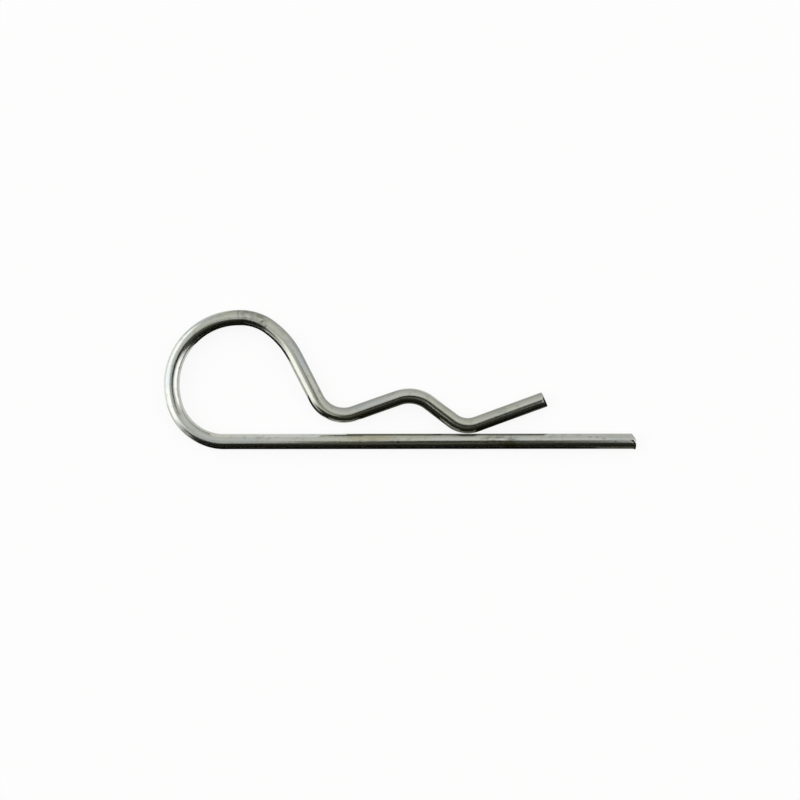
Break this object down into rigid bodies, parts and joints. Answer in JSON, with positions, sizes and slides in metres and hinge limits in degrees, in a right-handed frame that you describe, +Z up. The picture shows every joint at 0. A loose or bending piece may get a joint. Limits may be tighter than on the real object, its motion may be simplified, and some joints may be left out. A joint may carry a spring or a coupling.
{
  "type": "hitch pin r clip",
  "caption": "Spring wire R clip: a straight leg for a cross hole, an open round eye, and a waved arm that snaps over a shaft and holds a hitch pin in place.",
  "frame": {"origin": "on the leg's centre line, straight under the middle of the arm's crest, which is the centre of the shaft that the clip holds", "axes": "the wire bends in the XY plane; +X along the leg towards its free tip, +Y from the leg towards the arm, +Z up out of the wire's plane, along the held shaft"},
  "size_m": [0.0917, 0.0271, 0.003],
  "materials": {
    "zinc_plated_wire": "bright zinc-plated drawn spring wire"
  },
  "bodies": {
    "root": {"r_clip": "zinc_plated_wire"}
  },
  "joints": []
}
